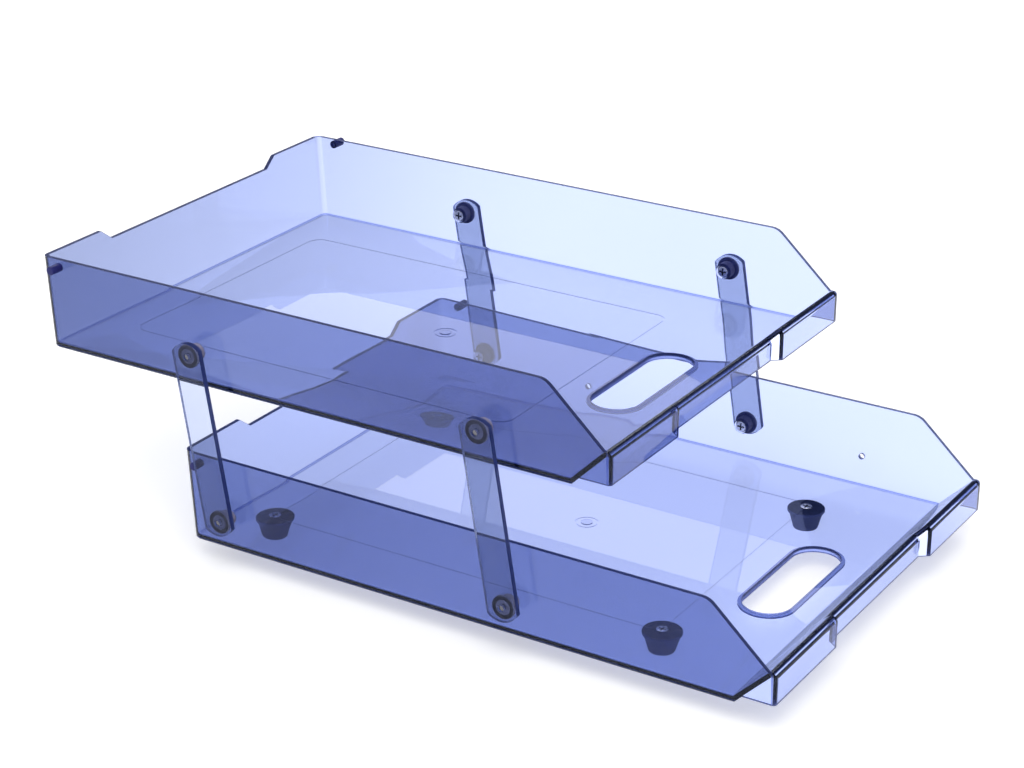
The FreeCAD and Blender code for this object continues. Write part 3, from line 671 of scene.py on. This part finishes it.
BUSH_PLAY = 0.08
BUSH_RADIUS = 4.8
FLANGE_RADIUS = 6.7
FLANGE_THICKNESS = 1.6
FLANGE_BACK = LINK_GAP - FLANGE_THICKNESS
DISH_RADIUS = 4.1
DISH_DEPTH = 0.3
DISH_FLOOR = LINK_GAP - DISH_DEPTH
BUSH_SECTION = section_sizes([
    (SCREW_HOLE, BUSH_PLAY), (BUSH_RADIUS, BUSH_PLAY), (BUSH_RADIUS, FLANGE_BACK),
    (FLANGE_RADIUS, FLANGE_BACK), (FLANGE_RADIUS, LINK_GAP), (DISH_RADIUS, LINK_GAP),
    (DISH_RADIUS - DISH_DEPTH, DISH_FLOOR), (SCREW_HOLE, DISH_FLOOR)], rounding=0.3)

SPIGOT_RADIUS = 1.4
SPIGOT_LENGTH = 1.3
PIN_RADIUS = 2.4
PIN_REACH = 8.3
PIN_SECTION = section_sizes([
    (0.0, -SPIGOT_LENGTH), (SPIGOT_RADIUS, -SPIGOT_LENGTH), (SPIGOT_RADIUS, 0.0),
    (PIN_RADIUS, 0.0), (PIN_RADIUS, PIN_REACH), (0.0, PIN_REACH)], rounding=0.35)

FOOT_HEIGHT = 11.6
FOOT_BASE_RADIUS = 7.0
FOOT_BODY_RADIUS = 9.7
FOOT_RIM_RADIUS = 10.6
FOOT_RIM_HEIGHT = 1.8
FOOT_BORE_DEPTH = FOOT_SCREW_LENGTH - TRAY_WALL
FOOT_SECTION = section_sizes([
    (SCREW_HOLE, 0.0), (SCREW_HOLE, -FOOT_BORE_DEPTH), (0.0, -FOOT_BORE_DEPTH),
    (0.0, -FOOT_HEIGHT), (FOOT_BASE_RADIUS, -FOOT_HEIGHT),
    (FOOT_BODY_RADIUS, -FOOT_RIM_HEIGHT), (FOOT_RIM_RADIUS, -FOOT_RIM_HEIGHT),
    (FOOT_RIM_RADIUS, 0.0)], rounding=0.4)


# ---------------------------------------------------------------- pieces

for level in LEVELS:
    clear_piece(f"{level}_tray", f"{level}_tray_moulding", TRAY, TRAY_WALL * MM)
for side in SIDES:
    for end in ENDS:
        clear_piece(f"{side}_{end}_link", f"{side}_{end}_link_bar", LINK,
                    LINK_THICKNESS * MM)

for side, way in SIDES.items():
    inward = "left" if side == "right" else "right"
    for end in ENDS:
        arm = f"{side}_{end}"
        bushes = [f"{arm}_{level}_bush" for level in LEVELS]
        grow(f"{arm}_bushes", TURNED_PIECES, BUSH_SECTION,
             [(wall_place(bush, side), side) for bush in bushes], BUSH, bushes)
        screws = [f"{arm}_{level}_screw" for level in LEVELS]
        heads = []
        for screw in screws:
            x, y, z = wall_place(screw, side)
            heads.append(((x + way * PIVOT_HEAD_FACE * MM, y, z), inward))
        grow(f"{arm}_screws", CROSS_HEAD_SCREWS, PIVOT_SCREW, heads, SCREW, screws,
             shade_beyond=PIVOT_SHADE_BEYOND * MM)

for level in LEVELS:
    pins = {f"{side}_{level}_stop_pin": side for side in SIDES}
    grow(f"{level}_stop_pins", TURNED_PIECES, PIN_SECTION,
         [(wall_place(pin, side), side) for pin, side in pins.items()], PIN, list(pins))

# The lowest point of a tray is the collar of its handle slot.
feet = [f"{side}_{end}_foot" for side in SIDES for end in ENDS]
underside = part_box("lower_tray")[0][2] + COLLAR_DROP * MM
inside = underside + TRAY_WALL * MM
grow("feet", TURNED_PIECES, FOOT_SECTION,
     [((middle(foot).x, middle(foot).y, underside), "up") for foot in feet], FOOT, feet)
grow("foot_screws", CROSS_HEAD_SCREWS, FOOT_SCREW,
     [((middle(foot).x, middle(foot).y, inside), "up") for foot in feet], SCREW,
     [foot + "_screw" for foot in feet])


# ---------------------------------------------------------------- set, light, camera

FLOOR_HALF = 6.0
FLOOR_COLOUR = (0.8, 0.8, 0.8, 1)
FLOOR_GLOW = 0.45

# Painted light on the floor for rays that come through plastic: none at the left, bright at the
# right. It turns from one value to the other between two places along RIGHTWARD, which runs from
# left to right across the view.
RIGHTWARD = (0.519, -0.855, 0.0)
GLOW_TURNS_FROM = -0.45
GLOW_TURNS_TO = 0.05
GLOW_BEHIND_LEFT = 0.0
GLOW_BEHIND_RIGHT = 1.3

# Level of the room for diffuse rays, and its level and colour overhead for rays off or
# through the pieces. HORIZON and OVERHEAD are the upward share of a ray's direction.
AMBIENT = 0.6
ROOM_LEVEL = 0.3
ROOM_COLOUR = (0.5, 0.6, 1.0, 1)
HORIZON = 0.05
OVERHEAD = 0.35

LAMP_SIZE = 1.6
LAMP_TARGET = (0, 0, 0.05)
KEY_PLACE = (-1.2, -0.6, 2.2)
KEY_WATTS = 28.0
FILL_PLACE = (1.4, 1.2, 1.6)
FILL_WATTS = 12.0

SENSOR_WIDTH = 36.0
LENS = 88.15
CAMERA_PLACE = (-1.0812, -0.6733, 0.6376)
CAMERA_FORWARD = (0.77838, 0.48659, -0.39669)
CAMERA_RIGHT = (0.53026, -0.84784, 0.00048)
NEAR_CLIP = 0.01
FAR_CLIP = 100.0

BOUNCES = 32
GLOSSY_BOUNCES = 8


def make_floor():
    mesh = bpy.data.meshes.new("floor")
    half = FLOOR_HALF
    mesh.from_pydata([(-half, -half, 0), (half, -half, 0), (half, half, 0), (-half, half, 0)],
                     [], [(0, 1, 2, 3)])
    floor = bpy.data.objects.new("floor", mesh)
    bpy.context.scene.collection.objects.link(floor)
    material, tree = new_material("pale floor")
    nodes, links = tree.nodes, tree.links
    out = nodes.new("ShaderNodeOutputMaterial")
    diffuse = nodes.new("ShaderNodeBsdfDiffuse")
    diffuse.inputs["Color"].default_value = FLOOR_COLOUR
    path = nodes.new("ShaderNodeLightPath")
    direct = arithmetic(tree, "MAXIMUM", path.outputs["Is Camera Ray"],
                        path.outputs["Is Glossy Ray"])
    plain = arithmetic(tree, "MULTIPLY", direct, FLOOR_GLOW)
    place = nodes.new("ShaderNodeNewGeometry")
    across = nodes.new("ShaderNodeVectorMath")
    across.operation = "DOT_PRODUCT"
    across.inputs[1].default_value = RIGHTWARD
    links.new(place.outputs["Position"], across.inputs[0])
    # Painted light: the floor seen through plastic grows brighter towards the right.
    behind = ramp(tree, across.outputs["Value"], GLOW_TURNS_FROM, GLOW_TURNS_TO,
                  GLOW_BEHIND_LEFT, GLOW_BEHIND_RIGHT, smooth=True)
    glow = nodes.new("ShaderNodeEmission")
    links.new(arithmetic(tree, "MULTIPLY_ADD", path.outputs["Is Transmission Ray"], behind,
                         plain), glow.inputs["Strength"])
    add = nodes.new("ShaderNodeAddShader")
    links.new(diffuse.outputs[0], add.inputs[0])
    links.new(glow.outputs[0], add.inputs[1])
    links.new(add.outputs[0], out.inputs["Surface"])
    mesh.materials.append(material)


def make_world():
    """White room for the camera, dimmer for diffuse rays, dim and blue overhead for others."""
    world = bpy.data.worlds.new("studio")
    bpy.context.scene.world = world
    world.use_nodes = True
    tree = world.node_tree
    nodes, links = tree.nodes, tree.links
    nodes.clear()
    out = nodes.new("ShaderNodeOutputWorld")
    back = nodes.new("ShaderNodeBackground")
    path = nodes.new("ShaderNodeLightPath")
    direction = nodes.new("ShaderNodeTexCoord")
    split = nodes.new("ShaderNodeSeparateXYZ")
    links.new(direction.outputs["Generated"], split.inputs[0])
    rise = split.outputs["Z"]
    by_piece = arithmetic(tree, "MAXIMUM", path.outputs["Is Glossy Ray"],
                          path.outputs["Is Transmission Ray"])
    overhead = arithmetic(tree, "MULTIPLY", ramp(tree, rise, HORIZON, OVERHEAD, smooth=True),
                          by_piece)
    room_level = ramp(tree, rise, HORIZON, OVERHEAD, 1.0, ROOM_LEVEL, smooth=True)
    even_level = ramp(tree, path.outputs["Is Diffuse Ray"], 0.0, 1.0, 1.0, AMBIENT)
    links.new(blend(tree, "RGBA", overhead, WHITE, ROOM_COLOUR), back.inputs["Color"])
    links.new(blend(tree, "FLOAT", by_piece, even_level, room_level), back.inputs["Strength"])
    links.new(back.outputs[0], out.inputs["Surface"])


def area_light(name, place, watts):
    light = bpy.data.lights.new(name, "AREA")
    light.shape = "SQUARE"
    light.size = LAMP_SIZE
    light.energy = watts
    lamp = bpy.data.objects.new(name, light)
    bpy.context.scene.collection.objects.link(lamp)
    lamp.location = place
    aim = Vector(LAMP_TARGET) - Vector(place)
    lamp.rotation_euler = aim.to_track_quat("-Z", "Y").to_euler()


def make_camera():
    camera_data = bpy.data.cameras.new("camera")
    camera_data.sensor_width = SENSOR_WIDTH
    camera_data.lens = LENS
    camera_data.clip_start = NEAR_CLIP
    camera_data.clip_end = FAR_CLIP
    camera = bpy.data.objects.new("camera", camera_data)
    bpy.context.scene.collection.objects.link(camera)
    forward = Vector(CAMERA_FORWARD).normalized()
    up = Vector(CAMERA_RIGHT).normalized().cross(forward).normalized()
    right = forward.cross(up).normalized()
    turn = Matrix((right, up, -forward)).transposed()
    camera.matrix_world = Matrix.Translation(CAMERA_PLACE) @ turn.to_4x4()
    bpy.context.scene.camera = camera


make_floor()
make_world()
area_light("key", KEY_PLACE, KEY_WATTS)
area_light("fill", FILL_PLACE, FILL_WATTS)
make_camera()

scene = bpy.context.scene
scene.view_settings.view_transform = "Standard"
scene.cycles.max_bounces = BOUNCES
scene.cycles.transmission_bounces = BOUNCES
scene.cycles.transparent_max_bounces = BOUNCES
scene.cycles.glossy_bounces = GLOSSY_BOUNCES
